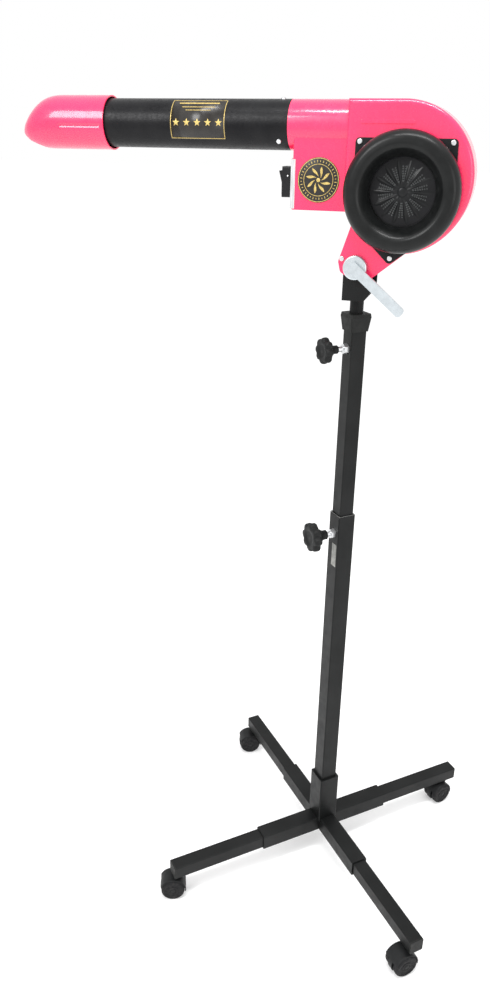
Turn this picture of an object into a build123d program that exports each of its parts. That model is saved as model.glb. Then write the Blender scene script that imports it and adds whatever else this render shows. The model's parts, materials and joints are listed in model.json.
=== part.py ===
from build123d import *
import os
from math import atan2, cos, degrees, hypot, pi, radians, sin, sqrt

# Pedestal blower dryer on a wheeled stand.  Millimetres, +Z up, origin on the floor under the mast.
# The blower's outlet tube points along -X at rest, and its intake faces -Y.

# ---------------------------------------------------------------- driving dimensions
BASE_YAW = 42.4            # the cross base is turned this far from the X axis
LEG_Z = 62.0               # centre height of the leg tubes
LEG_TUBE = 25.0
LEG_WALL = 1.5
LEG_REACH = 309.0          # mast axis to the end of a leg's plug
SLEEVE = 30.0              # square sleeves that hold the legs
SLEEVE_WALL = 2.2
SLEEVE_REACH = 133.0
HUB = 38.0                 # square socket that holds the mast
HUB_WALL = 3.8
HUB_TOP = 170.5

MAST_OUTER = 30.0
MAST_WALL = 1.5
MAST_FOOT = 82.0
MAST_OUTER_TOP = 712.5
MAST_INNER = 25.0
MAST_INNER_FOOT = 432.0
MAST_INNER_TOP = 1029.0
CAP_BOTTOM = 1008.0
CAP_TOP = 1033.5
HEIGHT_KNOB_Z = 679.0
SWIVEL_KNOB_Z = 982.0

SPIGOT_R = 10.0
SPIGOT_FOOT = 937.0
YOKE_Z = 1055.0            # underside of the yoke
YOKE_LOW_X = -17.5
YOKE_HIGH_X = 22.5
YOKE_HALF = 28.5           # the yoke's cheeks reach this far each way along Y
YOKE_PLATE = 4.0
PIVOT_X = 0.5
PIVOT_Z = 1102.5
PIVOT_R = 4.0

TUBE_R = 32.0              # barrel outside radius
TUBE_WALL = 1.5
TUBE_Z = 1280.0
DUCT_END = -104.0
TUBE_END = -412.0
NOZZLE_RIM = -372.0
NOZZLE_R = 36.0
NOZZLE_WALL = 1.8

AXIS_X = 56.5              # impeller, motor and intake share this axis along Y
AXIS_Z = 1201.5
SCROLL_R = 79.6            # small arc of the scroll, about the impeller axis
SCROLL_BIG_X = 49.5        # centre of the scroll's big arc
SCROLL_BIG_Z = 1216.2
HOUSING_TOP = TUBE_Z + TUBE_R
HOUSING_HALF = 35.0
HOUSING_WALL = 2.5
RIM_ROUND = 6.0
BOX_LEFT = -96.0
BOX_BOTTOM = 1173.5
BOX_HALF = 28.0
LUG_THICK = 6.0

RING_R = 76.0              # outside radius of the padded intake ring
RING_SECTION = 16.5
RING_Y = -53.0
FLANGE_THICK = 3.0
GUARD_ROWS = 14

SWITCH_Z = 1208.0
PLATE_FACE = BOX_LEFT - 2.0

CASTER_WHEEL_R = 21.0
CASTER_TRAIL = 15.0
STEM_REACH = 293.0
RUNNING = 0.05             # radial clearance of a running fit
PARTS = {}


# ---------------------------------------------------------------- helpers
def block(x0, x1, y0, y1, z0, z1):
    """Box between two corners."""
    return Pos((x0 + x1) / 2, (y0 + y1) / 2, (z0 + z1) / 2) * Box(x1 - x0, y1 - y0, z1 - z0)


def rod(start, direction, radius, length):
    """Cylinder from a start point along a direction."""
    stand_on_start = (Align.CENTER, Align.CENTER, Align.MIN)
    return Plane(origin=start, z_dir=direction) * Cylinder(radius, length, align=stand_on_start)


def ring(start, direction, outer, inner, length):
    """Hollow cylinder from a start point along a direction."""
    return rod(start, direction, outer, length) - rod(start, direction, inner, length)


def square_bar(size, z0, z1, round_r=2.0):
    """Upright square bar with rounded corners on the Z axis."""
    return Pos(0, 0, z0) * extrude(RectangleRounded(size, size, round_r), amount=z1 - z0)


def square_tube(size, wall, z0, z1):
    """Upright square tube on the Z axis."""
    return square_bar(size, z0, z1) - square_bar(size - 2 * wall, z0, z1, 1.0)


def along_x(solid):
    """Lays a solid that stands on the Z axis down along +X."""
    return Rot(0, 90, 0) * solid


def prism_y(face, y0, y1):
    """Extrudes an outline drawn in X and Z from y0 to y1."""
    return extrude(Plane.XZ.offset(-y1) * face, amount=y1 - y0)


def hex_nut(start, direction, across, bore, height):
    """Hexagon nut with a plain bore."""
    body = extrude(RegularPolygon(across / sqrt(3), 6), amount=height) - Cylinder(bore, 3 * height)
    return Plane(origin=start, z_dir=direction) * body


def pan_screw(start, direction, head_r, head_h, shank_r, length):
    """Screw with a rounded head outside the start point and its shank along the direction."""
    back = Vector(*direction) * -1
    head = rod(start, back, head_r, head_h)
    head = fillet(head.edges().sort_by_distance(Vector(*start) + back * head_h)[0], head_h * 0.45)
    return head + rod(start, direction, shank_r, length)


def star_knob(start, direction, radius, thick, lobes, hub_r, hub_len, bore):
    """Lobed knob whose hub starts at the start point and whose disc is beyond the hub."""
    disc = extrude(Circle(radius * 0.76), amount=thick)
    for k in range(lobes):
        angle = 360.0 * k / lobes
        disc += Rot(0, 0, angle) * Pos(radius * 0.76, 0, 0) * extrude(Circle(radius * 0.24), amount=thick)
    knob = Pos(0, 0, hub_len) * disc + rod((0, 0, 0), (0, 0, 1), hub_r, hub_len + 1)
    knob -= Pos(0, 0, -1) * extrude(Circle(bore), amount=hub_len + thick * 0.6 + 1)
    return Plane(origin=start, z_dir=direction) * knob


def in_base(solid):
    """Turns a solid drawn with the legs along X and Y into the base's own yaw."""
    return Rot(0, 0, BASE_YAW) * solid


# ---------------------------------------------------------------- base
LEG_ANGLES = {"1": 180.0, "2": 0.0, "3": 90.0, "4": 270.0}
LEG_FOOT = LEG_Z - LEG_TUBE / 2
STEM_R = 4.0
LEG_SCREW_REACH = 110.0


def leg_bar():
    """One leg along +X: a square tube with the caster's socket and its screw hole."""
    bar = along_x(square_tube(LEG_TUBE, LEG_WALL, 24.0, LEG_REACH - 3.0))
    bar = Pos(0, 0, LEG_Z) * bar
    socket_h = LEG_TUBE - 2 * LEG_WALL
    bar += rod((STEM_REACH, 0, LEG_FOOT + LEG_WALL), (0, 0, 1), 8.0, socket_h)
    bar -= rod((STEM_REACH, 0, LEG_FOOT - 1), (0, 0, 1), STEM_R + RUNNING, 21.0)
    return bar - rod((LEG_SCREW_REACH, 0, LEG_FOOT - 1), (0, 0, 1), 3.1, 5.0)


def end_plug():
    """Plastic plug in the end of a leg along +X."""
    cap = along_x(square_bar(LEG_TUBE, LEG_REACH - 3.0, LEG_REACH, 2.0))
    shank = along_x(square_bar(LEG_TUBE - 2 * LEG_WALL, LEG_REACH - 7.0, LEG_REACH - 3.0, 1.0))
    return Pos(0, 0, LEG_Z) * (cap + shank)


def make_base():
    """Hub, legs, plugs and the screws that hold the legs in their sleeves."""
    foot = LEG_Z - SLEEVE / 2
    floor = MAST_FOOT - 8.0
    cross = Rectangle(2 * SLEEVE_REACH, SLEEVE) + Rectangle(SLEEVE, 2 * SLEEVE_REACH)
    cross = Pos(0, 0, foot) * extrude(cross, amount=SLEEVE)
    cross = fillet(cross.edges().filter_by(lambda edge: edge.length > SLEEVE + 1), 2.0)
    hub = cross + square_bar(HUB, floor, HUB_TOP)
    hub -= square_bar(HUB - 2 * HUB_WALL, MAST_FOOT, HUB_TOP + 1, 1.0)
    hub -= square_bar(HUB - 2 * HUB_WALL - 6.0, foot - 1, floor, 1.0)
    sleeve_bore = along_x(square_bar(SLEEVE - 2 * SLEEVE_WALL, 22.0, SLEEVE_REACH + 1, 1.0))
    for angle in LEG_ANGLES.values():
        turn = Rot(0, 0, angle)
        hub -= turn * Pos(0, 0, LEG_Z) * sleeve_bore
        hub -= turn * rod((LEG_SCREW_REACH, 0, foot - 1), (0, 0, 1), 3.1, 6.0)
    PARTS["base_hub"] = in_base(hub)
    plugs = []
    screws = []
    for name, angle in LEG_ANGLES.items():
        turn = Rot(0, 0, angle)
        PARTS["leg_" + name] = in_base(turn * leg_bar())
        plugs.append(in_base(turn * end_plug()))
        screw = pan_screw((LEG_SCREW_REACH, 0, foot), (0, 0, 1), 5.5, 3.0, 3.0, 8.0)
        screws.append(in_base(turn * screw))
    PARTS["leg_end_plugs"] = Compound(plugs)
    PARTS["leg_screws"] = Compound(screws)


# ---------------------------------------------------------------- casters
TRAIL_ANGLES = {"1": 202.0, "2": 228.0, "3": 204.0, "4": 222.0}
WEB_HALF = 4.8
WHEEL_IN = 5.3
WHEEL_OUT = 18.0
HOOD_HALF = 16.0
AXLE_R = 3.0
STEM_FOOT = 28.0
BOSS_TOP = LEG_FOOT - 0.4


def caster_housing():
    """Hooded fork of a twin-wheel caster: stem on the Z axis, axle at +X by the trail."""
    hood_r = CASTER_WHEEL_R + 2.6
    axle = (CASTER_TRAIL, 0, CASTER_WHEEL_R)
    hood = rod((CASTER_TRAIL, -HOOD_HALF, CASTER_WHEEL_R), (0, 1, 0), hood_r, 2 * HOOD_HALF)
    hood = fillet(hood.edges().filter_by(GeomType.CIRCLE), 2.0)
    hood -= rod((CASTER_TRAIL, -HOOD_HALF - 1, CASTER_WHEEL_R), (0, 1, 0), hood_r - 1.8, 2 * HOOD_HALF + 2)
    hood -= block(-60, 80, -40, 40, -20, CASTER_WHEEL_R - 3.0)
    hood -= Pos(*axle) * Rot(0, -25, 0) * block(0, 80, -40, 40, -40, 0)
    web = rod((CASTER_TRAIL, -WEB_HALF, CASTER_WHEEL_R), (0, 1, 0), hood_r - 1.0, 2 * WEB_HALF)
    web -= block(-60, 80, -40, 40, -20, CASTER_WHEEL_R - 12.0)
    boss = rod((0, 0, STEM_FOOT - 3.0), (0, 0, 1), WEB_HALF, BOSS_TOP - STEM_FOOT + 3.0)
    boss += rod((0, 0, BOSS_TOP - 4.2), (0, 0, 1), 8.0, 4.2)
    body = hood + web + boss
    body -= rod((0, 0, STEM_FOOT), (0, 0, 1), STEM_R, 40.0)
    return body - rod((CASTER_TRAIL, -WEB_HALF - 1, CASTER_WHEEL_R), (0, 1, 0), AXLE_R, 2 * WEB_HALF + 2)


def caster_pins():
    """Steel stem and axle."""
    stem = rod((0, 0, STEM_FOOT), (0, 0, 1), STEM_R, LEG_FOOT + 18.0 - STEM_FOOT)
    axle = rod((CASTER_TRAIL, -WHEEL_OUT + 1.5, CASTER_WHEEL_R), (0, 1, 0), AXLE_R, 2 * WHEEL_OUT - 3)
    return Compound([stem, axle])


def caster_wheel(side):
    """One wheel, with a rounded tread, a recessed outer face and a running bore."""
    start = (CASTER_TRAIL, side * WHEEL_IN, CASTER_WHEEL_R)
    out = (0, side, 0)
    width = WHEEL_OUT - WHEEL_IN
    wheel = rod(start, out, CASTER_WHEEL_R, width)
    wheel = fillet(wheel.edges().filter_by(GeomType.CIRCLE), 2.2)
    wheel -= rod((CASTER_TRAIL, side * (WHEEL_OUT - 1.6), CASTER_WHEEL_R), out, 14.5, 3.0)
    wheel += rod((CASTER_TRAIL, side * (WHEEL_OUT - 2.5), CASTER_WHEEL_R), out, 6.0, 2.0)
    bore_start = (CASTER_TRAIL, side * (WHEEL_IN - 1), CASTER_WHEEL_R)
    return wheel - rod(bore_start, out, AXLE_R + RUNNING, width + 3)


def make_casters():
    """Four casters at the leg ends, each turned to its own trail."""
    for name, angle in LEG_ANGLES.items():
        reach = Vector(STEM_REACH, 0, 0).rotate(Axis.Z, angle + BASE_YAW)
        place = Pos(reach.X, reach.Y, 0) * Rot(0, 0, TRAIL_ANGLES[name])
        PARTS["caster_" + name + "_housing"] = place * caster_housing()
        PARTS["caster_" + name + "_pins"] = place * caster_pins()
        PARTS["caster_" + name + "_wheel_left"] = place * caster_wheel(-1)
        PARTS["caster_" + name + "_wheel_right"] = place * caster_wheel(1)


# ---------------------------------------------------------------- mast
SCREW_R = 4.0
NUT_H = 7.0


def clamp_set(face, tip, z, radius, thick, hub_start, hub_len):
    """Weld nut, star knob and its screw, on the mast's -X face before the base yaw."""
    nut = hex_nut((-face, 0, z), (-1, 0, 0), 14.0, SCREW_R + RUNNING, NUT_H)
    knob = star_knob((-hub_start, 0, z), (-1, 0, 0), radius, thick, 7, 8.0, hub_len, SCREW_R)
    screw = rod((-tip, 0, z), (-1, 0, 0), SCREW_R, hub_start + hub_len + thick * 0.6 - tip)
    return in_base(nut), in_base(knob), in_base(screw)


def make_mast():
    """Outer and inner mast tubes, cap, slide plug and the two clamp knobs."""
    outer = square_tube(MAST_OUTER, MAST_WALL, MAST_FOOT, MAST_OUTER_TOP)
    outer -= rod((-MAST_OUTER, 0, HEIGHT_KNOB_Z), (1, 0, 0), SCREW_R + 0.4, MAST_OUTER)
    PARTS["mast_outer"] = in_base(outer)
    inner = square_tube(MAST_INNER, MAST_WALL, MAST_INNER_FOOT, MAST_INNER_TOP)
    inner -= rod((-MAST_INNER, 0, SWIVEL_KNOB_Z), (1, 0, 0), SCREW_R + 0.4, MAST_INNER)
    PARTS["mast_inner"] = in_base(inner)

    height = clamp_set(MAST_OUTER / 2, MAST_INNER / 2 + 0.3, HEIGHT_KNOB_Z, 25.0, 12.0, 29.0, 20.0)
    PARTS["height_nut"], PARTS["height_knob"], PARTS["height_knob_screw"] = height
    swivel = clamp_set(MAST_INNER / 2, SPIGOT_R + 0.3, SWIVEL_KNOB_Z, 20.0, 9.0, 29.0, 18.0)
    PARTS["swivel_nut"], PARTS["swivel_knob"], PARTS["swivel_knob_screw"] = swivel

    plug_size = MAST_OUTER - 2 * MAST_WALL - 0.8
    shank_size = MAST_INNER - 2 * MAST_WALL
    plug = square_bar(plug_size, MAST_INNER_FOOT - 8.0, MAST_INNER_FOOT, 1.0)
    plug += square_bar(shank_size, MAST_INNER_FOOT, MAST_INNER_FOOT + 22.0, 1.0)
    plug -= rod((0, 0, MAST_INNER_FOOT - 9.0), (0, 0, 1), 6.0, 40.0)
    PARTS["mast_slide_plug"] = in_base(plug)

    base = Pos(0, 0, CAP_BOTTOM) * RectangleRounded(29.0, 29.0, 3.0)
    shoulder = Pos(0, 0, CAP_TOP - 5.0) * RectangleRounded(34.5, 34.5, 3.5)
    crown = Pos(0, 0, CAP_TOP) * RectangleRounded(33.0, 33.0, 3.5)
    cap = loft([base, shoulder], ruled=True) + loft([shoulder, crown], ruled=True)
    cap -= square_bar(MAST_INNER, CAP_BOTTOM - 1, MAST_INNER_TOP, 2.0)
    cap -= rod((0, 0, CAP_BOTTOM), (0, 0, 1), SPIGOT_R + RUNNING, 40.0)
    PARTS["mast_cap"] = in_base(cap)


# ---------------------------------------------------------------- yoke, pivot and clamp lever
LEVER_LENGTH = 91.0
LEVER_DROP = 39.8          # the lever points this far below +X
LEVER_WIDTH = 14.0
DISC_Y = -44.5
LEVER_Y = -49.0


def make_yoke():
    """U-shaped yoke with its spigot, and the bolt through it."""
    cheek = Polyline(
        (YOKE_LOW_X, YOKE_Z),
        (YOKE_HIGH_X - 9.0, YOKE_Z),
        (YOKE_HIGH_X, YOKE_Z + 12.0),
        (YOKE_HIGH_X, PIVOT_Z + 8.0),
        (YOKE_HIGH_X - 10.0, PIVOT_Z + 18.0),
        (YOKE_LOW_X + 10.0, PIVOT_Z + 18.0),
        (YOKE_LOW_X, PIVOT_Z + 8.0),
        close=True,
    )
    outline = make_face(cheek)
    yoke = prism_y(outline, -YOKE_HALF, -YOKE_HALF + YOKE_PLATE)
    yoke += prism_y(outline, YOKE_HALF - YOKE_PLATE, YOKE_HALF)
    inside = YOKE_HALF - YOKE_PLATE
    yoke += block(YOKE_LOW_X, YOKE_HIGH_X - 9.0, -inside, inside, YOKE_Z, YOKE_Z + 5.0)
    yoke += block(YOKE_LOW_X, YOKE_LOW_X + YOKE_PLATE, -inside, inside, YOKE_Z, PIVOT_Z + 6.0)
    spacer = (PIVOT_X, -inside, PIVOT_Z)
    yoke += ring(spacer, (0, 1, 0), 7.0, PIVOT_R, 2 * inside)
    yoke -= rod((PIVOT_X, -40, PIVOT_Z), (0, 1, 0), PIVOT_R, 80)
    yoke -= rod((0, 0, YOKE_Z - 1), (0, 0, 1), 6.0, 10.0)
    PARTS["yoke"] = yoke

    spigot = rod((0, 0, SPIGOT_FOOT), (0, 0, 1), SPIGOT_R, YOKE_Z - SPIGOT_FOOT)
    spigot += rod((0, 0, YOKE_Z), (0, 0, 1), 6.0, 7.0)
    spigot = chamfer(spigot.edges().sort_by(Axis.Z)[0], 1.5)
    PARTS["spigot"] = spigot

    tip = DISC_Y + 2.0
    bolt = rod((PIVOT_X, tip, PIVOT_Z), (0, 1, 0), PIVOT_R, HOUSING_HALF + 0.4 - tip)
    head = extrude(RegularPolygon(13.0 / sqrt(3), 6), amount=5.5)
    bolt += Plane(origin=(PIVOT_X, HOUSING_HALF + 0.4, PIVOT_Z), z_dir=(0, 1, 0)) * head
    PARTS["pivot_bolt"] = bolt


def make_lever():
    """Clamp lever: a domed disc threaded on the bolt, with a flat bar across its face."""
    disc = rod((0, -HOUSING_HALF - 0.4, 0), (0, -1, 0), 16.5, -HOUSING_HALF - 0.4 - DISC_Y)
    front = disc.edges().filter_by(GeomType.CIRCLE).sort_by(Axis.Y)[0]
    disc = fillet(front, 2.0)
    bar = Pos(LEVER_LENGTH / 2 - 3.0, LEVER_Y + 2.25, 0) * Box(LEVER_LENGTH + 6.0, 4.5, LEVER_WIDTH)
    ends = bar.edges().filter_by(Axis.Y).sort_by(Axis.X)
    bar = fillet(ends[2:], 5.0)
    bar = fillet(bar.edges().filter_by(Axis.Y).sort_by(Axis.X)[:2], 2.0)
    lever = disc + bar
    lever -= rod((0, DISC_Y + 1.0, 0), (0, 1, 0), PIVOT_R + RUNNING, 30.0)
    PARTS["clamp_lever"] = Pos(PIVOT_X, 0, PIVOT_Z) * Rot(0, LEVER_DROP, 0) * lever


# ---------------------------------------------------------------- blower housing
def scroll_face(inset):
    """Scroll outline in X and Z: a straight top, a big arc, then a small arc about the axis."""
    top = HOUSING_TOP - inset
    dx = AXIS_X - SCROLL_BIG_X
    dz = AXIS_Z - SCROLL_BIG_Z
    apart = hypot(dx, dz)
    big = top - SCROLL_BIG_Z
    small = big - apart
    left = AXIS_X - small
    join = (SCROLL_BIG_X + dx / apart * big, SCROLL_BIG_Z + dz / apart * big)
    outline = Line((left, top), (SCROLL_BIG_X, top))
    outline += ThreePointArc((SCROLL_BIG_X, top), (SCROLL_BIG_X + big, SCROLL_BIG_Z), join)
    half_way = radians((degrees(atan2(dz, dx)) - 180.0) / 2)
    middle = (AXIS_X + small * cos(half_way), AXIS_Z + small * sin(half_way))
    outline += ThreePointArc(join, middle, (left, AXIS_Z))
    outline += Line((left, AXIS_Z), (left, top))
    return make_face(outline)


def lug_face():
    """Ear that hangs from the scroll and carries the pivot."""
    outline = Polyline(
        (AXIS_X - SCROLL_R + 16.0, AXIS_Z - 37.5),
        (-24.5, PIVOT_Z + 6.5),
        (-21.0, PIVOT_Z - 7.5),
        (-11.0, PIVOT_Z - 13.5),
        (24.3, PIVOT_Z - 13.5),
        (70.0, PIVOT_Z + 24.0),
        (60.0, PIVOT_Z + 49.5),
        close=True,
    )
    face = make_face(outline)
    corners = face.vertices().sort_by(Axis.X)[:3]
    return fillet(corners, 7.0)


SHANK_R = 1.7              # small screws: shank, the hole for it, and the head
SHANK_HOLE_R = 1.75
SCREW_HEAD_R = 3.4
SCREW_HEAD_H = 2.2
GLAND_R = 8.0
GLAND_BORE_R = 4.0
GLAND_X = -60.0
GLAND_Z = 1195.0
LUG_SCREW = (-19.3, 1113.0)
TUBE_SCREW_X = -116.5
TUBE_SCREW_ANGLES = (38.5, 141.5, -78.0)
BOX_POSTS = [(-84.0, 1185.0), (-35.0, 1185.0)]
SCROLL_POSTS = [(119.5, 1266.0), (121.0, 1168.0), (-4.0, 1170.0)]
UPPER_FLANGE_SCREWS = [(AXIS_X - 60.5, AXIS_Z + 60.0), (AXIS_X + 58.5, AXIS_Z + 60.0)]
LOWER_FLANGE_SCREW = (AXIS_X - 10.0, AXIS_Z - 84.5)


def housing_outer():
    """Outside of both halves together."""
    scroll = prism_y(scroll_face(0.0), -HOUSING_HALF, HOUSING_HALF)
    rims = scroll.edges().group_by(Axis.Y)
    scroll = fillet(rims[0] + rims[-1], RIM_ROUND)
    duct = rod((DUCT_END, 0, TUBE_Z), (1, 0, 0), TUBE_R, -DUCT_END)
    box = block(BOX_LEFT, 0.0, -BOX_HALF, BOX_HALF, BOX_BOTTOM, TUBE_Z - 15.0)
    side_edges = box.edges().filter_by(Axis.Z).sort_by(Axis.X)[:2]
    box = fillet(side_edges, 4.0)
    body = scroll + duct + box
    for y0 in (-HOUSING_HALF, HOUSING_HALF - LUG_THICK):
        body += prism_y(lug_face(), y0, y0 + LUG_THICK)
    return body


def housing_inner():
    """Air path, switch box and every hole through the walls."""
    inner_half = HOUSING_HALF - HOUSING_WALL
    scroll = prism_y(scroll_face(HOUSING_WALL), -inner_half, inner_half)
    bore_r = TUBE_R - 3.5
    duct = rod((DUCT_END - 40, 0, TUBE_Z), (1, 0, 0), bore_r, -DUCT_END + 60)
    box_half = BOX_HALF - HOUSING_WALL
    box_right = AXIS_X - SCROLL_R - HOUSING_WALL
    box_left = BOX_LEFT + HOUSING_WALL
    box_floor = BOX_BOTTOM + HOUSING_WALL
    box = block(box_left, box_right, -box_half, box_half, box_floor, TUBE_Z - 18.0)
    box -= rod((BOX_LEFT, 0, TUBE_Z), (1, 0, 0), TUBE_R, 100.0)
    switch_hole = block(BOX_LEFT - 5, BOX_LEFT + 5, -11.0, 11.0, SWITCH_Z - 17.0, SWITCH_Z + 17.0)
    intake = rod((AXIS_X, 0, AXIS_Z), (0, -1, 0), 44.0, HOUSING_HALF + 5)
    shaft_hole = rod((AXIS_X, 0, AXIS_Z), (0, 1, 0), 9.0, HOUSING_HALF + 5)
    pivot = rod((PIVOT_X, -60, PIVOT_Z), (0, 1, 0), PIVOT_R + RUNNING, 120)
    gland = rod((GLAND_X, BOX_HALF + 1, GLAND_Z), (0, -1, 0), GLAND_R, 10.0)
    return scroll + duct + box + switch_hole + intake + shaft_hole + pivot + gland


def make_housing():
    """Front and rear halves, their posts and the screws that join them."""
    shell = housing_outer() - housing_inner()
    spigot_start = (DUCT_END - 24.0, 0, TUBE_Z)
    shell += ring(spigot_start, (1, 0, 0), TUBE_R - TUBE_WALL - 0.1, TUBE_R - 3.5, 30.0)
    posts = [(x, z, BOX_HALF) for x, z in BOX_POSTS] + [(x, z, HOUSING_HALF) for x, z in SCROLL_POSTS]
    for x, z, half in posts:
        shell += rod((x, 1 - half, z), (0, 1, 0), 4.2, 2 * half - 2)
    screws = []
    for x, z, half in posts:
        shell -= rod((x, -12.0, z), (0, 1, 0), SHANK_HOLE_R, half + 20)
        screws.append(pan_screw((x, half, z), (0, -1, 0), SCREW_HEAD_R, SCREW_HEAD_H, SHANK_R, half + 8.0))
    for angle in TUBE_SCREW_ANGLES:
        at, inward = tube_screw_line(angle)
        shell -= rod(at, inward, SHANK_HOLE_R, 8.0)
    for x, z in UPPER_FLANGE_SCREWS:
        shell -= rod((x, -HOUSING_HALF - 1, z), (0, 1, 0), SHANK_HOLE_R, 5.0)
    for x, z in (LOWER_FLANGE_SCREW, LUG_SCREW):
        shell -= rod((x, -HOUSING_HALF - 1, z), (0, 1, 0), SHANK_HOLE_R, 9.0)
    far = 200.0
    front = shell & block(-far, far, -far, 0, 900, 1500)
    rear = shell & block(-far, far, 0, far, 900, 1500)
    PARTS["housing_front"] = front
    PARTS["housing_rear"] = rear
    PARTS["housing_screws"] = Compound(screws)
    lug_screw = (LUG_SCREW[0], -HOUSING_HALF, LUG_SCREW[1])
    reach = LUG_THICK - 0.5
    PARTS["lug_screw"] = pan_screw(lug_screw, (0, 1, 0), SCREW_HEAD_R, SCREW_HEAD_H, SHANK_R, reach)


def tube_screw_line(angle):
    """Point on the tube and its inward direction, the angle being from -Y, positive downwards."""
    out = (0.0, -cos(radians(angle)), -sin(radians(angle)))
    at = (TUBE_SCREW_X, out[1] * TUBE_R, TUBE_Z + out[2] * TUBE_R)
    return at, (0.0, -out[1], -out[2])


# ---------------------------------------------------------------- barrel, nozzle and heater
NOSE = [
    # distance from the start of the nose, crown height, chin height, half width
    (0.0, 36.0, -36.0, 36.0),
    (20.0, 33.4, -35.9, 34.8),
    (38.0, 23.5, -34.2, 31.0),
    (49.0, 13.5, -31.0, 26.0),
    (58.0, 1.5, -26.0, 18.0),
    (64.0, -9.5, -19.0, 8.0),
]
NOSE_START = -451.0


def nose(shrink):
    """Drooping nose of the nozzle, lofted from elliptic sections."""
    sections = []
    for step, crown, chin, half in NOSE:
        high = crown - shrink
        low = chin + shrink
        wide = half - shrink
        if high - low < 3.0:
            continue
        reach = step * (1.0 - shrink / 65.0)
        centre = (NOSE_START - reach, 0, TUBE_Z + (high + low) / 2)
        spot = Plane(origin=centre, x_dir=(0, 1, 0), z_dir=(-1, 0, 0))
        sections.append(spot * Ellipse(wide, (high - low) / 2))
    return loft(sections)


def make_nozzle():
    """Nozzle shell with a downward mouth, and the inner collar that turns on the barrel."""
    straight = NOZZLE_RIM - NOSE_START
    body = rod((NOZZLE_RIM, 0, TUBE_Z), (-1, 0, 0), NOZZLE_R, straight) + nose(0.0)
    hollow_r = NOZZLE_R - NOZZLE_WALL
    hollow = rod((NOZZLE_RIM + 1, 0, TUBE_Z), (-1, 0, 0), hollow_r, straight + 1) + nose(NOZZLE_WALL)
    body -= hollow
    mouth_line = Polyline(
        (-517.5, TUBE_Z - 9.0),
        (-499.0, TUBE_Z - 25.0),
        (-472.0, TUBE_Z - 37.0),
        (-472.0, TUBE_Z - 60.0),
        (-530.0, TUBE_Z - 60.0),
        (-530.0, TUBE_Z - 9.0),
        close=True,
    )
    body -= prism_y(make_face(mouth_line), -50, 50)
    collar = ring((-394.0, 0, TUBE_Z), (-1, 0, 0), hollow_r + 0.4, TUBE_R + RUNNING, 14.0)
    PARTS["nozzle"] = body + collar


def make_barrel():
    """Outlet tube, its screws, the printed plate on it, and the heater inside."""
    start = (DUCT_END, 0, TUBE_Z)
    barrel = ring(start, (-1, 0, 0), TUBE_R, TUBE_R - TUBE_WALL, DUCT_END - TUBE_END)
    screws = []
    for angle in TUBE_SCREW_ANGLES:
        at, inward = tube_screw_line(angle)
        barrel -= rod(Vector(*at) - Vector(*inward) * 2, inward, SHANK_HOLE_R, 6.0)
        screws.append(pan_screw(at, inward, SCREW_HEAD_R, SCREW_HEAD_H, SHANK_R, 5.0))
    PARTS["tube"] = barrel
    PARTS["tube_screws"] = Compound(screws)
    label = ring((-272.0, 0, TUBE_Z), (1, 0, 0), TUBE_R + 0.45, TUBE_R, 81.0)
    wedge = Polyline((0, 0), (-60, 130), (-90, 0), (-60, -46), close=True)
    keep = Plane(origin=(-275.0, 0, TUBE_Z), x_dir=(0, 1, 0), z_dir=(1, 0, 0)) * make_face(wedge)
    PARTS["tube_label"] = label & extrude(keep, amount=90.0)

    length = 190.0
    x0 = -330.0
    frame = block(x0, x0 + length, -0.4, 0.4, TUBE_Z - 19.0, TUBE_Z + 19.0)
    frame += block(x0, x0 + length, -19.0, 19.0, TUBE_Z - 0.4, TUBE_Z + 0.4)
    for x in (x0, x0 + length / 2, x0 + length - 1.0):
        spider = rod((x, 0, TUBE_Z), (1, 0, 0), TUBE_R - TUBE_WALL - 0.3, 1.0)
        spider -= rod((x, 0, TUBE_Z), (1, 0, 0), 27.0, 1.0)
        spider += block(x, x + 1.0, -28.0, 28.0, TUBE_Z - 2.0, TUBE_Z + 2.0)
        spider += block(x, x + 1.0, -2.0, 2.0, TUBE_Z - 28.0, TUBE_Z + 28.0)
        frame += spider
    PARTS["heater_frame"] = frame
    turns = []
    for k in range(16):
        x = x0 + 14.0 + k * 10.6
        turns.append(Plane(origin=(x, 0, TUBE_Z), z_dir=(1, 0, 0)) * Torus(18.2, 0.9))
    PARTS["heater_coils"] = Compound(turns)
    PARTS["thermostat"] = block(x0 + 152.0, x0 + 164.0, 1.0, 7.0, TUBE_Z + 1.0, TUBE_Z + 13.0)


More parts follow.
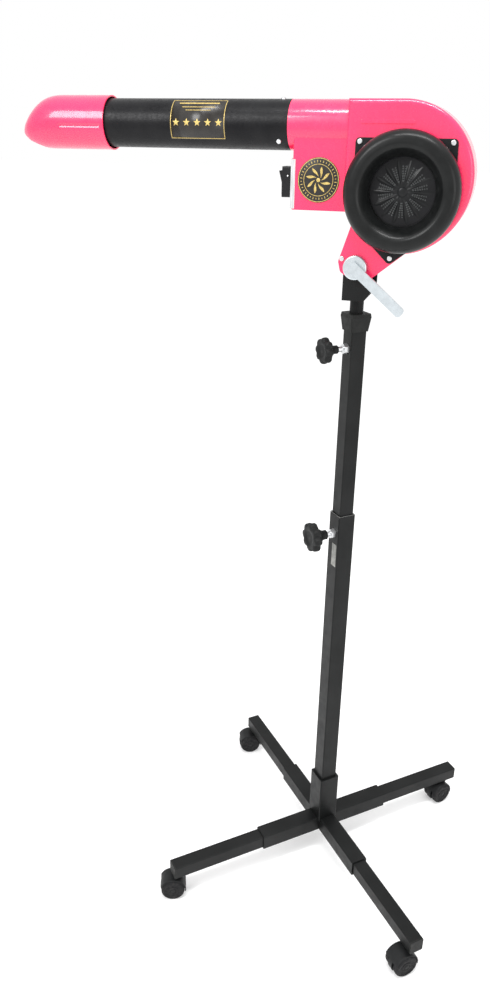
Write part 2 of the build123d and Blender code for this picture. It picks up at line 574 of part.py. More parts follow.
# ---------------------------------------------------------------- intake
def make_intake():
    """Eared flange with its padded ring, the perforated guard and three screws."""
    outline = Polyline(
        (AXIS_X - 66.5, AXIS_Z + 64.8),
        (AXIS_X + 64.5, AXIS_Z + 64.8),
        (AXIS_X + 66.5, AXIS_Z + 20.0),
        (AXIS_X + 50.0, AXIS_Z - 50.0),
        (AXIS_X + 10.0, AXIS_Z - 77.5),
        (AXIS_X - 11.0, AXIS_Z - 93.5),
        (AXIS_X - 40.0, AXIS_Z - 66.0),
        (AXIS_X - 66.5, AXIS_Z + 10.0),
        close=True,
    )
    face = make_face(outline)
    face = fillet(face.vertices(), 4.0)
    back = -HOUSING_HALF
    flange = prism_y(face, back - FLANGE_THICK, back)
    ring_plane = Plane(origin=(AXIS_X, RING_Y, AXIS_Z), z_dir=(0, 1, 0))
    torus = ring_plane * Torus(RING_R - RING_SECTION, RING_SECTION)
    pad = rod((AXIS_X, back, AXIS_Z), (0, -1, 0), RING_R - 4.0, -RING_Y + back + 2.0)
    body = flange + torus + pad
    throat = RING_R - 2 * RING_SECTION
    body -= rod((AXIS_X, back + 1, AXIS_Z), (0, -1, 0), throat, 60.0)
    body -= rod((AXIS_X, back + 1, AXIS_Z), (0, -1, 0), 47.0, 3.2)
    screws = []
    for x, z in UPPER_FLANGE_SCREWS + [LOWER_FLANGE_SCREW]:
        body -= rod((x, back + 1, z), (0, -1, 0), 1.9, 10.0)
        screw_at = (x, back - FLANGE_THICK, z)
        screws.append(pan_screw(screw_at, (0, 1, 0), SCREW_HEAD_R, SCREW_HEAD_H, SHANK_R, 6.5))
    PARTS["intake_ring"] = body
    PARTS["intake_screws"] = Compound(screws)

    guard = rod((AXIS_X, back - 0.1, AXIS_Z), (0, -1, 0), 46.7, 1.6)
    cone = Plane(origin=(AXIS_X, back - 1.6, AXIS_Z), z_dir=(0, -1, 0))
    guard += cone * Cone(42.0, 10.0, 5.0, align=(Align.CENTER, Align.CENTER, Align.MIN))
    under = Plane(origin=(AXIS_X, back + 0.4, AXIS_Z), z_dir=(0, -1, 0))
    guard -= under * Cone(42.0, 10.0, 5.0, align=(Align.CENTER, Align.CENTER, Align.MIN))
    for row in range(GUARD_ROWS):
        angle = 2 * pi * (row + 0.5) / GUARD_ROWS
        for k in range(6):
            reach = 14.0 + 4.9 * k
            x = AXIS_X + reach * cos(angle)
            z = AXIS_Z + reach * sin(angle)
            guard -= rod((x, 0, z), (0, -1, 0), 1.0 + 0.12 * k, 60.0)
    PARTS["intake_guard"] = guard


# ---------------------------------------------------------------- switch, badge and gland
BADGE_X = -59.0
BADGE_Z = 1212.5
BADGE_R = 28.8
ROCKER_REST = 8.0          # tilt of the rocker in its off position
BEZEL_DEPTH = 16.0
ROCKER_PIN_X = PLATE_FACE - 12.5
ROCKER_PIN_R = 1.5


def make_switch():
    """Backing plate, switch body, rocker on its two stub pins, round badge and cable gland."""
    plate = block(PLATE_FACE, BOX_LEFT, -25.0, 25.0, BOX_BOTTOM + 0.5, BOX_BOTTOM + 65.5)
    plate = fillet(plate.edges().filter_by(Axis.X), 3.0)
    plate -= block(PLATE_FACE - 1, BOX_LEFT + 1, -11.0, 11.0, SWITCH_Z - 17.0, SWITCH_Z + 17.0)
    PARTS["switch_plate"] = plate
    bezel = block(PLATE_FACE - BEZEL_DEPTH, PLATE_FACE, -13.0, 13.0, SWITCH_Z - 20.0, SWITCH_Z + 20.0)
    bezel = fillet(bezel.edges().filter_by(Axis.X), 2.0)
    body = bezel + block(PLATE_FACE, BOX_LEFT + 22.0, -10.9, 10.9, SWITCH_Z - 16.9, SWITCH_Z + 16.9)
    well_x = PLATE_FACE - BEZEL_DEPTH - 1.0
    body -= block(well_x, PLATE_FACE + 0.5, -9.2, 9.2, SWITCH_Z - 17.2, SWITCH_Z + 17.2)
    body -= rod((ROCKER_PIN_X, -11.0, SWITCH_Z), (0, 1, 0), ROCKER_PIN_R + RUNNING, 22.0)
    PARTS["switch_body"] = body
    profile = Polyline(
        (5.0, -8.0),
        (-2.0, -15.4),
        (-7.0, -15.4),
        (-5.0, 0),
        (-7.0, 15.4),
        (-2.0, 15.4),
        (5.0, 8.0),
        close=True,
    )
    rocker = prism_y(make_face(profile), -8.7, 8.7)
    rocker += rod((0, -10.6, 0), (0, 1, 0), ROCKER_PIN_R, 21.2)
    turn = Pos(ROCKER_PIN_X, 0, SWITCH_Z) * Rot(0, -ROCKER_REST, 0)
    PARTS["switch_rocker"] = turn * rocker
    badge = rod((BADGE_X, -BOX_HALF, BADGE_Z), (0, -1, 0), BADGE_R, 0.8)
    badge += ring((BADGE_X, -BOX_HALF - 0.8, BADGE_Z), (0, -1, 0), BADGE_R, BADGE_R - 1.6, 0.5)
    PARTS["badge"] = badge

    gland = rod((GLAND_X, BOX_HALF, GLAND_Z), (0, 1, 0), 11.0, 4.0)
    gland += rod((GLAND_X, BOX_HALF + 4.0, GLAND_Z), (0, 1, 0), 7.5, 9.0)
    gland += rod((GLAND_X, BOX_HALF, GLAND_Z), (0, -1, 0), GLAND_R - RUNNING, 6.0)
    gland -= rod((GLAND_X, BOX_HALF - 20, GLAND_Z), (0, 1, 0), GLAND_BORE_R, 40.0)
    PARTS["cable_gland"] = gland


# ---------------------------------------------------------------- motor and impeller
COVER_R = 48.0
COVER_DEPTH = 62.0
ROTOR_R = 19.0


def make_motor():
    """Motor cover, stator, rotor with its shaft, and the impeller."""
    back = HOUSING_HALF
    profile = Polyline(
        (COVER_R - 2.0, 0),
        (COVER_R + 6.0, 0),
        (COVER_R + 6.0, 2.5),
        (COVER_R, 2.5),
        (COVER_R, COVER_DEPTH),
        (0, COVER_DEPTH),
        (0, COVER_DEPTH - 2.5),
        (COVER_R - 2.0, COVER_DEPTH - 2.5),
        close=True,
    )
    section = make_face(profile)
    section = fillet(section.vertices().sort_by_distance((COVER_R, COVER_DEPTH))[0], 9.0)
    section = fillet(section.vertices().sort_by_distance((COVER_R - 2, COVER_DEPTH - 2.5))[0], 6.8)
    cover = Pos(AXIS_X, back, AXIS_Z) * revolve(section, Axis.Y)
    for k in range(9):
        z = AXIS_Z + (k - 4) * 7.5
        half = sqrt(33.0 ** 2 - (z - AXIS_Z) ** 2)
        cover -= block(AXIS_X - half, AXIS_X + half, back + 50, back + 80, z - 1.6, z + 1.6)
    PARTS["motor_cover"] = cover

    can = ring((AXIS_X, back + 1.5, AXIS_Z), (0, 1, 0), 39.0, 32.0, 48.0)
    core = ring((AXIS_X, back + 12.0, AXIS_Z), (0, 1, 0), 32.5, ROTOR_R + 0.6, 26.0)
    front_plate = ring((AXIS_X, back + 1.5, AXIS_Z), (0, 1, 0), 38.0, 4.0 + RUNNING, 4.0)
    rear_plate = ring((AXIS_X, back + 45.5, AXIS_Z), (0, 1, 0), 38.0, 4.0 + RUNNING, 4.0)
    foot = ring((AXIS_X, back, AXIS_Z), (0, 1, 0), 30.0, 12.0, 2.0)
    PARTS["motor_stator"] = can + core + front_plate + rear_plate + foot

    shaft = rod((AXIS_X, -10.0, AXIS_Z), (0, 1, 0), 4.0, back + 62.0)
    shaft += rod((AXIS_X, back + 12.0, AXIS_Z), (0, 1, 0), ROTOR_R, 26.0)
    PARTS["motor_shaft"] = shaft

    outer_r = 58.0
    wheel = rod((AXIS_X, 20.0, AXIS_Z), (0, 1, 0), outer_r, 2.0)
    wheel += rod((AXIS_X, -8.0, AXIS_Z), (0, 1, 0), 11.0, 28.5)
    wheel += ring((AXIS_X, -22.0, AXIS_Z), (0, 1, 0), outer_r, 46.0, 2.0)
    blade = Pos(50.5, 0, 0) * Rot(0, 0, 28) * Box(16.0, 1.4, 41.0)
    for k in range(20):
        turned = Rot(0, 0, 18.0 * k) * blade
        wheel += Pos(AXIS_X, 0, AXIS_Z) * Rot(90, 0, 0) * turned
    wheel -= rod((AXIS_X, -30, AXIS_Z), (0, 1, 0), 4.0, 60.0)
    PARTS["impeller"] = wheel


make_base()
make_casters()
make_mast()
make_yoke()
make_lever()
make_housing()
make_nozzle()
make_barrel()
make_intake()
make_switch()
make_motor()

os.makedirs("parts", exist_ok=True)
for node, shape in PARTS.items():
    export_step(shape, "parts/" + node + ".step")
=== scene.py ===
"""Looks of the pedestal blower dryer: materials, detailed pieces, light, floor and camera.

Lengths inside the piece builders are millimetres in the part's own frame; add_piece turns them into metres.
"""
import json
from math import cos, hypot, pi, radians, sin

import bmesh
import bpy
from mathutils import Matrix, Vector


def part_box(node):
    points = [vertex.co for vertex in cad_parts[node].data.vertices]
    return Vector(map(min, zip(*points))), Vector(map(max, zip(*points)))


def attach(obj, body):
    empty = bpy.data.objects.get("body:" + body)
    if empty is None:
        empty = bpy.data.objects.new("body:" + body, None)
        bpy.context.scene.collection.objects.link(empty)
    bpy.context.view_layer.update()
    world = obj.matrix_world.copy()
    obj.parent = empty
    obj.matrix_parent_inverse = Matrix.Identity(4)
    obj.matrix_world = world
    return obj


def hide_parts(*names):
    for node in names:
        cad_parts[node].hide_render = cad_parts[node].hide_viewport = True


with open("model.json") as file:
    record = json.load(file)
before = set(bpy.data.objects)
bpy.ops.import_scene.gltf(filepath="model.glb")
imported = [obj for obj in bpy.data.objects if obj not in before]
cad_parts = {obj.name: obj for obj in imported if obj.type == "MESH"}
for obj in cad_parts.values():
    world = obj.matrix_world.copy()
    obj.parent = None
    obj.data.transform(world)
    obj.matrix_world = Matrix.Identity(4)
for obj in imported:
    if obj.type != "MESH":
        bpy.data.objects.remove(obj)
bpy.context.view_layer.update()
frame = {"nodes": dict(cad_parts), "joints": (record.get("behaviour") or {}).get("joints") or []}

MM = 0.001
SAME_POINT = 1e-7          # metres; closer points are merged


# ---------------------------------------------------------------- places taken from the frame
def centre_of(node):
    """Centre of a CAD node's box, in millimetres."""
    low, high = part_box(node)
    return (low + high) * (0.5 / MM)


def low_of(node):
    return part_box(node)[0] / MM


def high_of(node):
    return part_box(node)[1] / MM


def joint(name):
    """The joint's place in millimetres and its axis."""
    found = next(j for j in frame["joints"] if j["name"] == name)
    return Vector(found["pos_m"]) / MM, Vector(found["axis"]).normalized()


TUBE = centre_of("tube")
TUBE_R = (high_of("tube").z - low_of("tube").z) / 2
FAN_AT = joint("fan_spin")[0]
KNOB_AXIS = joint("height_knob_turn")[1]
MAST_SIDE = Vector((-KNOB_AXIS.y, KNOB_AXIS.x, 0.0))
UP = Vector((0, 0, 1))


# ---------------------------------------------------------------- material helpers
class Nodes:
    """Short calls for building one material."""

    def __init__(self, name, colour, roughness, metallic=0.0):
        self.material = bpy.data.materials.new(name)
        self.material.use_nodes = True
        self.tree = self.material.node_tree
        self.shader = self.tree.nodes["Principled BSDF"]
        self.shader.inputs["Base Color"].default_value = (*colour, 1.0)
        self.shader.inputs["Roughness"].default_value = roughness
        self.shader.inputs["Metallic"].default_value = metallic
        self.place = self.tree.nodes.new("ShaderNodeTexCoord").outputs["Object"]

    def link(self, out, into):
        self.tree.links.new(out, into)

    def noise(self, size_mm, detail=3.0, stretch=None, distortion=0.0):
        """Noise whose lumps are about size_mm across."""
        node = self.tree.nodes.new("ShaderNodeTexNoise")
        node.inputs["Scale"].default_value = 1.0 / (size_mm * MM)
        node.inputs["Detail"].default_value = detail
        node.inputs["Distortion"].default_value = distortion
        place = self.place
        if stretch:
            mapping = self.tree.nodes.new("ShaderNodeMapping")
            mapping.inputs["Scale"].default_value = stretch
            self.link(place, mapping.inputs["Vector"])
            place = mapping.outputs["Vector"]
        self.link(place, node.inputs["Vector"])
        return node.outputs["Fac"]

    def cells(self, size_mm):
        """Distance to the nearest of scattered points about size_mm apart."""
        node = self.tree.nodes.new("ShaderNodeTexVoronoi")
        node.inputs["Scale"].default_value = 1.0 / (size_mm * MM)
        self.link(self.place, node.inputs["Vector"])
        return node.outputs["Distance"]

    def spread(self, out, low, high, to_low=0.0, to_high=1.0):
        """Maps a value from one range to another."""
        node = self.tree.nodes.new("ShaderNodeMapRange")
        node.inputs["From Min"].default_value = low
        node.inputs["From Max"].default_value = high
        node.inputs["To Min"].default_value = to_low
        node.inputs["To Max"].default_value = to_high
        self.link(out, node.inputs["Value"])
        return node.outputs["Result"]

    def mix(self, factor, first, second):
        """Colour between two colours or colour outputs."""
        node = self.tree.nodes.new("ShaderNodeMix")
        node.data_type = "RGBA"
        self.link(factor, node.inputs["Factor"])
        for index, value in ((6, first), (7, second)):
            if isinstance(value, tuple):
                node.inputs[index].default_value = (*value, 1.0)
            else:
                self.link(value, node.inputs[index])
        return node.outputs[2]

    def colour(self, out):
        self.link(out, self.shader.inputs["Base Color"])

    def roughness(self, out, low, high):
        self.link(self.spread(out, 0.3, 0.7, low, high), self.shader.inputs["Roughness"])

    def bump(self, out, depth_mm, strength=1.0):
        """Adds height to whatever bump is there already."""
        node = self.tree.nodes.new("ShaderNodeBump")
        node.inputs["Distance"].default_value = depth_mm * MM
        node.inputs["Strength"].default_value = strength
        self.link(out, node.inputs["Height"])
        normal = self.shader.inputs["Normal"]
        if normal.links:
            self.link(normal.links[0].from_socket, node.inputs["Normal"])
        self.link(node.outputs["Normal"], normal)


def powder_coat():
    """Satin black powder coat with orange peel and a faint bloom of dust."""
    m = Nodes("powder_coat", (0.012, 0.013, 0.013), 0.42)
    bloom = m.spread(m.noise(60.0, 3.0), 0.35, 0.7)
    m.colour(m.mix(bloom, (0.005, 0.0055, 0.0055), (0.010, 0.0105, 0.0105)))
    m.roughness(m.noise(18.0, 4.0), 0.36, 0.5)
    m.bump(m.noise(1.6, 2.0), 0.04, 0.5)
    m.shader.inputs["Specular IOR Level"].default_value = 0.18
    return m.material


def tube_coat():
    """Textured black coat with fine grain and small glints."""
    m = Nodes("tube_coat", (0.008, 0.008, 0.009), 0.36)
    m.colour(m.mix(m.spread(m.noise(30.0, 5.0), 0.35, 0.7), (0.004, 0.004, 0.005), (0.009, 0.009, 0.010)))
    m.roughness(m.noise(4.0, 4.0), 0.26, 0.46)
    m.bump(m.noise(1.3, 3.0), 0.16, 0.8)
    m.bump(m.cells(0.9), 0.05, 0.6)
    m.shader.inputs["Specular IOR Level"].default_value = 0.18
    return m.material


def pink_enamel():
    """Glossy hot pink enamel over a lightly orange-peeled casting."""
    m = Nodes("pink_enamel", (0.95, 0.035, 0.15), 0.25)
    broad = m.spread(m.noise(70.0, 3.0), 0.35, 0.65)
    tone = m.mix(broad, (0.90, 0.012, 0.085), (0.98, 0.022, 0.11))
    fleck = m.spread(m.noise(0.9, 2.0), 0.35, 0.65)
    m.colour(m.mix(fleck, tone, (1.0, 0.03, 0.125)))
    m.roughness(m.noise(9.0, 3.0), 0.2, 0.32)
    m.bump(m.noise(3.2, 2.0), 0.04, 0.4)
    m.shader.inputs["Coat Weight"].default_value = 0.6
    m.shader.inputs["Coat Roughness"].default_value = 0.05
    return m.material


def zinc(name, tint=(0.72, 0.73, 0.74), rough=0.3):
    """Zinc-plated steel: faintly cloudy tone, fine rolled grain."""
    m = Nodes(name, tint, rough, 0.9)
    dark = tuple(c * 0.9 for c in tint)
    m.colour(m.mix(m.spread(m.noise(9.0, 3.0, distortion=0.4), 0.35, 0.65), dark, tint))
    m.roughness(m.noise(6.0, 3.0), rough * 0.9, rough * 1.15)
    m.bump(m.noise(0.6, 2.0, stretch=(1.0, 1.0, 0.25)), 0.006, 0.4)
    return m.material


def moulded(name, colour, rough, grain_mm=0.7, depth_mm=0.05, coat=0.0):
    """Moulded plastic: fine etched grain and soft tone changes."""
    m = Nodes(name, colour, rough)
    light = tuple(min(1.0, c * 1.4 + 0.002) for c in colour)
    m.colour(m.mix(m.spread(m.noise(22.0, 4.0), 0.35, 0.7), colour, light))
    m.roughness(m.noise(6.0, 4.0), rough * 0.85, rough * 1.2)
    m.bump(m.noise(grain_mm, 2.0), depth_mm, 0.6)
    m.shader.inputs["Specular IOR Level"].default_value = 0.2
    m.shader.inputs["Coat Weight"].default_value = coat
    m.shader.inputs["Coat Roughness"].default_value = 0.15
    return m.material


def tread_rubber():
    """Grey-black wheel rubber with a dusty, scuffed surface."""
    m = Nodes("tread_rubber", (0.015, 0.015, 0.016), 0.7)
    dust = m.spread(m.noise(5.0, 6.0, distortion=0.4), 0.48, 0.75, 0.0, 0.5)
    m.colour(m.mix(dust, (0.012, 0.012, 0.013), (0.05, 0.049, 0.046)))
    m.roughness(m.noise(3.0, 4.0), 0.55, 0.85)
    m.bump(m.noise(0.8, 4.0), 0.06, 0.6)
    m.shader.inputs["Specular IOR Level"].default_value = 0.18
    return m.material


def print_black():
    """Dark print under a clear film, a little brown."""
    m = Nodes("print_black", (0.011, 0.009, 0.008), 0.3)
    m.colour(m.mix(m.spread(m.noise(12.0, 4.0), 0.35, 0.7), (0.008, 0.006, 0.005), (0.016, 0.013, 0.01)))
    m.roughness(m.noise(7.0, 3.0), 0.22, 0.4)
    m.bump(m.noise(1.2, 2.0), 0.015, 0.4)
    m.shader.inputs["Coat Weight"].default_value = 0.08
    m.shader.inputs["Coat Roughness"].default_value = 0.1
    return m.material


def print_gold():
    """Gold foil print with fine uneven wear."""
    m = Nodes("print_gold", (0.6, 0.45, 0.14), 0.4, 0.3)
    m.colour(m.mix(m.spread(m.noise(1.4, 4.0), 0.35, 0.65), (0.4, 0.28, 0.07), (0.68, 0.52, 0.18)))
    m.roughness(m.noise(1.0, 3.0), 0.28, 0.5)
    m.bump(m.noise(0.5, 2.0), 0.01, 0.5)
    return m.material


def bare_sheet(name, colour, rough):
    """Pale metal sheet or foil with drawn grain along Z."""
    m = Nodes(name, colour, rough, 0.9)
    grain = m.noise(1.2, 3.0, stretch=(1.0, 1.0, 0.06))
    m.colour(m.mix(m.spread(grain, 0.3, 0.7), tuple(c * 0.8 for c in colour), colour))
    m.roughness(grain, rough * 0.8, rough * 1.3)
    m.bump(grain, 0.01, 0.5)
    return m.material


def paper_tag():
    """Blank grey paper tag, a little soiled."""
    m = Nodes("paper_tag", (0.3, 0.3, 0.28), 0.7)
    m.colour(m.mix(m.spread(m.noise(7.0, 5.0), 0.35, 0.7), (0.2, 0.2, 0.19), (0.34, 0.34, 0.32)))
    m.roughness(m.noise(2.0, 3.0), 0.6, 0.85)
    m.bump(m.noise(0.6, 3.0), 0.02, 0.6)
    return m.material


POWDER = powder_coat()
TUBE_BLACK = tube_coat()
PINK = pink_enamel()
ZINC = zinc("zinc_plate")
LEVER_ZINC = zinc("lever_zinc", (0.62, 0.67, 0.7), 0.3)
CUT_STEEL = zinc("cut_steel", (0.42, 0.42, 0.41), 0.45)
RING_BLACK = moulded("ring_black", (0.004, 0.0045, 0.0045), 0.34, 1.4, 0.04, coat=0.08)
GUARD_BLACK = moulded("guard_black", (0.004, 0.0045, 0.005), 0.32, 0.8, 0.02, coat=0.15)
FLANGE_BLACK = moulded("flange_black", (0.007, 0.007, 0.008), 0.45, 0.9, 0.03)
KNOB_BLACK = moulded("knob_black", (0.006, 0.0065, 0.0065), 0.5, 0.8, 0.05)
CAP_BLACK = moulded("cap_black", (0.009, 0.0095, 0.009), 0.55, 0.7, 0.05)
SWITCH_BLACK = moulded("switch_black", (0.006, 0.006, 0.007), 0.35, 0.6, 0.02, coat=0.2)
HOOD_BLACK = moulded("hood_black", (0.008, 0.0085, 0.009), 0.48, 0.8, 0.04)
COVER_BLACK = moulded("cover_black", (0.012, 0.013, 0.013), 0.48, 1.1, 0.05)
TREAD = tread_rubber()
PRINT_BLACK = print_black()
GOLD = print_gold()
PLATE = bare_sheet("plate_metal", (0.72, 0.72, 0.73), 0.35)
IRON = bare_sheet("stator_iron", (0.3, 0.3, 0.31), 0.5)
MICA = bare_sheet("mica_board", (0.5, 0.42, 0.3), 0.6)
WIRE = zinc("heater_wire", (0.36, 0.32, 0.3), 0.4)
BRASS = zinc("thermostat_brass", (0.7, 0.52, 0.22), 0.35)
TAG = paper_tag()
# light grey of the rims round the guard's holes: painted highlight on the punched hole edges
HOLE_HIGHLIGHT_GREY = moulded("painted_hole_highlight", (0.10, 0.105, 0.105), 0.4, 0.5, 0.01)
WHITE_DOT = moulded("white_dot", (0.75, 0.76, 0.76), 0.4, 0.5, 0.01)


# ---------------------------------------------------------------- mesh helpers
def add_piece(name, points, faces, material, body, slot, smooth=True):
    """A mesh piece from points in millimetres, riding on a body."""
    mesh = bpy.data.meshes.new(name)
    mesh.from_pydata([Vector(p) * MM for p in points], [], faces)
    mesh.validate()
    mesh.materials.append(material)
    for polygon in mesh.polygons:
        polygon.use_smooth = smooth
    piece = bpy.data.objects.new(name, mesh)
    bpy.context.scene.collection.objects.link(piece)
    turn_faces_out(mesh)
    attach(piece, body)
    return piece


def turn_faces_out(mesh):
    """Merges points that coincide, and makes the faces' winding agree and point outwards."""
    work = bmesh.new()
    work.from_mesh(mesh)
    bmesh.ops.remove_doubles(work, verts=work.verts, dist=SAME_POINT)
    bmesh.ops.recalc_face_normals(work, faces=work.faces)
    work.to_mesh(mesh)
    work.free()


def soften(piece, width_mm, angle=35.0, segments=2):
    """Rounds a piece's sharp edges and keeps its flat faces flat."""
    bevel = piece.modifiers.new("soft_edges", "BEVEL")
    bevel.width = width_mm * MM
    bevel.segments = segments
    bevel.limit_method = "ANGLE"
    bevel.angle_limit = radians(angle)
    bevel.harden_normals = False
    normals = piece.modifiers.new("even_normals", "WEIGHTED_NORMAL")
    normals.keep_sharp = True
    return piece


def rounded(points, radius, steps=5, closed=True):
    """Rounds a polyline's corners; a point may carry its own radius as a third number."""
    out = []
    count = len(points)
    for i, point in enumerate(points):
        here = Vector(point[:2])
        if not closed and i in (0, count - 1):
            out.append(here)
            continue
        before = Vector(points[i - 1][:2])
        after = Vector(points[(i + 1) % count][:2])
        reach = point[2] if len(point) > 2 else radius
        reach = min(reach, (before - here).length * 0.48, (after - here).length * 0.48)
        start = here + (before - here).normalized() * reach
        end = here + (after - here).normalized() * reach
        for k in range(steps + 1):
            t = k / steps
            out.append(start * (1 - t) ** 2 + here * 2 * t * (1 - t) + end * t ** 2)
    return out


def basis(axis):
    """Two directions square to the axis; the second is as near to +Z as it can be."""
    axis = Vector(axis).normalized()
    top = UP if abs(axis.z) < 0.9 else Vector((0, 1, 0))
    side = top.cross(axis).normalized()
    return side, axis.cross(side).normalized()


def lathe(profile, centre, axis, steps=96, closed=True):
    """Points and faces of a turned (radius, along) profile; an open one gets a flat base."""
    if not closed:
        profile = [*profile, (0.0, profile[-1][1])]
    side, top = basis(axis)
    axis = Vector(axis).normalized()
    centre = Vector(centre)
    points = []
    for k in range(steps):
        angle = 2 * pi * k / steps
        out = side * cos(angle) + top * sin(angle)
        points += [centre + out * r + axis * a for r, a in profile]
    rows = len(profile)
    last = rows if closed else rows - 1
    faces = []
    for k in range(steps):
        here, there = k * rows, (k + 1) % steps * rows
        for i in range(last):
            j = (i + 1) % rows
            faces.append((here + i, there + i, there + j, here + j))
    return points, faces


def lathed_piece(name, profile, centre, axis, material, body, slot, steps=96, closed=True):
    points, faces = lathe(profile, centre, axis, steps, closed)
    return add_piece(name, points, faces, material, body, slot)


def plate_points(outline, lift, low, high):
    """Points and faces of an outline made into a plate; lift places (u, v, height)."""
    count = len(outline)
    points = [lift(u, v, low) for u, v in outline] + [lift(u, v, high) for u, v in outline]
    faces = [tuple(range(count)), tuple(range(count, 2 * count))]
    faces += [(k, (k + 1) % count, count + (k + 1) % count, count + k) for k in range(count)]
    return points, faces


def join_parts(parts):
    """Several (points, faces) as one."""
    points, faces = [], []
    for some_points, some_faces in parts:
        shift = len(points)
        points += some_points
        faces += [tuple(i + shift for i in face) for face in some_faces]
    return points, faces


def star_outline(u, v, radius, inner=0.42, tips=5, turn=90.0):
    """Outline of a star with its first tip at the angle turn."""
    out = []
    for k in range(2 * tips):
        angle = radians(turn) + pi * k / tips
        reach = radius if k % 2 == 0 else radius * inner
        out.append((u + reach * cos(angle), v + reach * sin(angle)))
    return out


def bar_outline(u0, u1, v0, v1):
    return [(u0, v0), (u1, v0), (u1, v1), (u0, v1)]


# ---------------------------------------------------------------- intake: ring, flange and guard
RING_R = 76.0
THROAT_R = 43.0
RING_BACK = -35.0
RING_FRONT = -69.4


def at_fan(u, v, y):
    """A point beside the fan axis: u towards +X, v up, y along the axis."""
    return Vector((FAN_AT.x + u, y, FAN_AT.z + v))


def make_intake_ring():
    """Tyre-like ring with a long slope into the throat, and the eared flange behind it."""
    crest = RING_FRONT
    corners = [
        (71.0, RING_BACK + 0.2, 0.5),
        (71.6, RING_BACK - 6.0, 3.0),
        (RING_R, -44.5, 6.0),
        (RING_R, -59.0, 12.0),
        (69.0, crest + 1.2, 9.0),
        (59.0, crest, 8.0),
        (54.5, crest + 2.2, 5.0),
        (49.0, -60.5, 6.0),
        (45.0, -51.0, 4.0),
        (THROAT_R, -46.5, 2.0),
        (THROAT_R, RING_BACK + 0.2, 0.5),
    ]
    profile = [(p.x, -p.y) for p in rounded(corners, 3.0, 7)]
    centre = (FAN_AT.x, 0, FAN_AT.z)
    ring = lathed_piece(
        "intake_ring_pad", profile, centre, (0, -1, 0), RING_BLACK, "head", "ring_plastic", 160
    )
    outline = rounded(
        [
            (-66.5, 64.8), (64.5, 64.8), (66.5, 20.0), (50.0, -50.0),
            (10.0, -77.5), (-11.0, -93.5), (-40.0, -66.0), (-66.5, 10.0),
        ],
        6.0, 6,
    )
    points, faces = plate_points(outline, at_fan, RING_BACK - 3.0, RING_BACK - 0.05)
    flange = add_piece("intake_flange", points, faces, FLANGE_BLACK, "head", "ring_plastic", False)
    soften(flange, 0.7)
    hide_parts("intake_ring")
    return ring


GUARD_Y = -36.0            # the guard's rim; its ribs and dish stand forward of it
# how far forward the painted hole-edge highlight rims sit
HOLE_HIGHLIGHT_Y = -36.35
GUARD_SECTORS = 14
GUARD_CELLS = 10           # angular cells in one sector
GUARD_RINGS = 30
GUARD_INNER = 3.0
GUARD_OUTER = 46.6
HOLE_CELLS = (3, 6)        # punched cells in a sector
HOLE_RINGS = range(7, 28, 2)


def guard_height(reach, share):
    """How far the guard stands forward at a radius and at a share of its sector."""
    cone = 5.0 * (1.0 - min(1.0, max(0.0, (reach - 10.0) / 32.0)))
    rib = max(0.0, cos(2 * pi * share)) ** 1.5
    fade = min(1.0, max(0.0, (reach - 6.0) / 10.0)) * min(1.0, max(0.0, (45.0 - reach) / 4.0))
    return cone + 1.5 * rib * fade


def guard_reach(step):
    """Distance from the fan's axis of a ring of the guard's grid."""
    return GUARD_INNER + (GUARD_OUTER - GUARD_INNER) * step / GUARD_RINGS


def make_guard_eyelets():
    """Light grey rims round the guard's punched holes: painted highlight on the hole edges."""
    rim = [(0.95, -0.15), (0.9, 0.12), (0.55, 0.12), (0.5, -0.15)]
    parts = []
    for sector in range(GUARD_SECTORS):
        for cell in HOLE_CELLS:
            share = (cell + 0.5) / GUARD_CELLS
            angle = 2 * pi * (sector + share) / GUARD_SECTORS
            for i in HOLE_RINGS:
                reach = guard_reach(i + 0.5)
                front = HOLE_HIGHLIGHT_Y - guard_height(reach, share)
                spot = at_fan(reach * cos(angle), reach * sin(angle), front)
                parts.append(lathe(rim, spot, (0, -1, 0), 10))
    add_piece("intake_guard_hole_highlights", *join_parts(parts), HOLE_HIGHLIGHT_GREY, "head", "ring_plastic")


def make_guard():
    """Dished guard with smooth radial ribs and rows of small punched holes between them."""
    columns = GUARD_SECTORS * GUARD_CELLS
    reaches = [guard_reach(k) for k in range(GUARD_RINGS + 1)]
    points = []
    for reach in reaches:
        for k in range(columns):
            angle = 2 * pi * k / columns
            height = guard_height(reach, k / GUARD_CELLS % 1.0)
            points.append(at_fan(reach * cos(angle), reach * sin(angle), GUARD_Y - height))
    faces = []
    for i in range(GUARD_RINGS):
        for k in range(columns):
            if k % GUARD_CELLS in HOLE_CELLS and i in HOLE_RINGS:
                continue
            j = (k + 1) % columns
            base = i * columns
            faces.append((base + k, base + j, base + columns + j, base + columns + k))
    faces.append(tuple(range(columns)))
    guard = add_piece("intake_guard_plate", points, faces, GUARD_BLACK, "head", "ring_plastic")
    thick = guard.modifiers.new("sheet", "SOLIDIFY")
    thick.thickness = 0.7 * MM
    thick.offset = 0.0
    finer = guard.modifiers.new("round_holes", "SUBSURF")
    finer.levels = 1
    finer.render_levels = 1
    boss = [(0.0, 42.6), (4.0, 42.4), (6.2, 41.6), (7.0, 40.4), (7.0, 39.6)]
    lathed_piece(
        "intake_guard_boss", boss, (FAN_AT.x, 0, FAN_AT.z), (0, -1, 0),
        GUARD_BLACK, "head", "ring_plastic", 48, closed=False,
    )
    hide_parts("intake_guard")


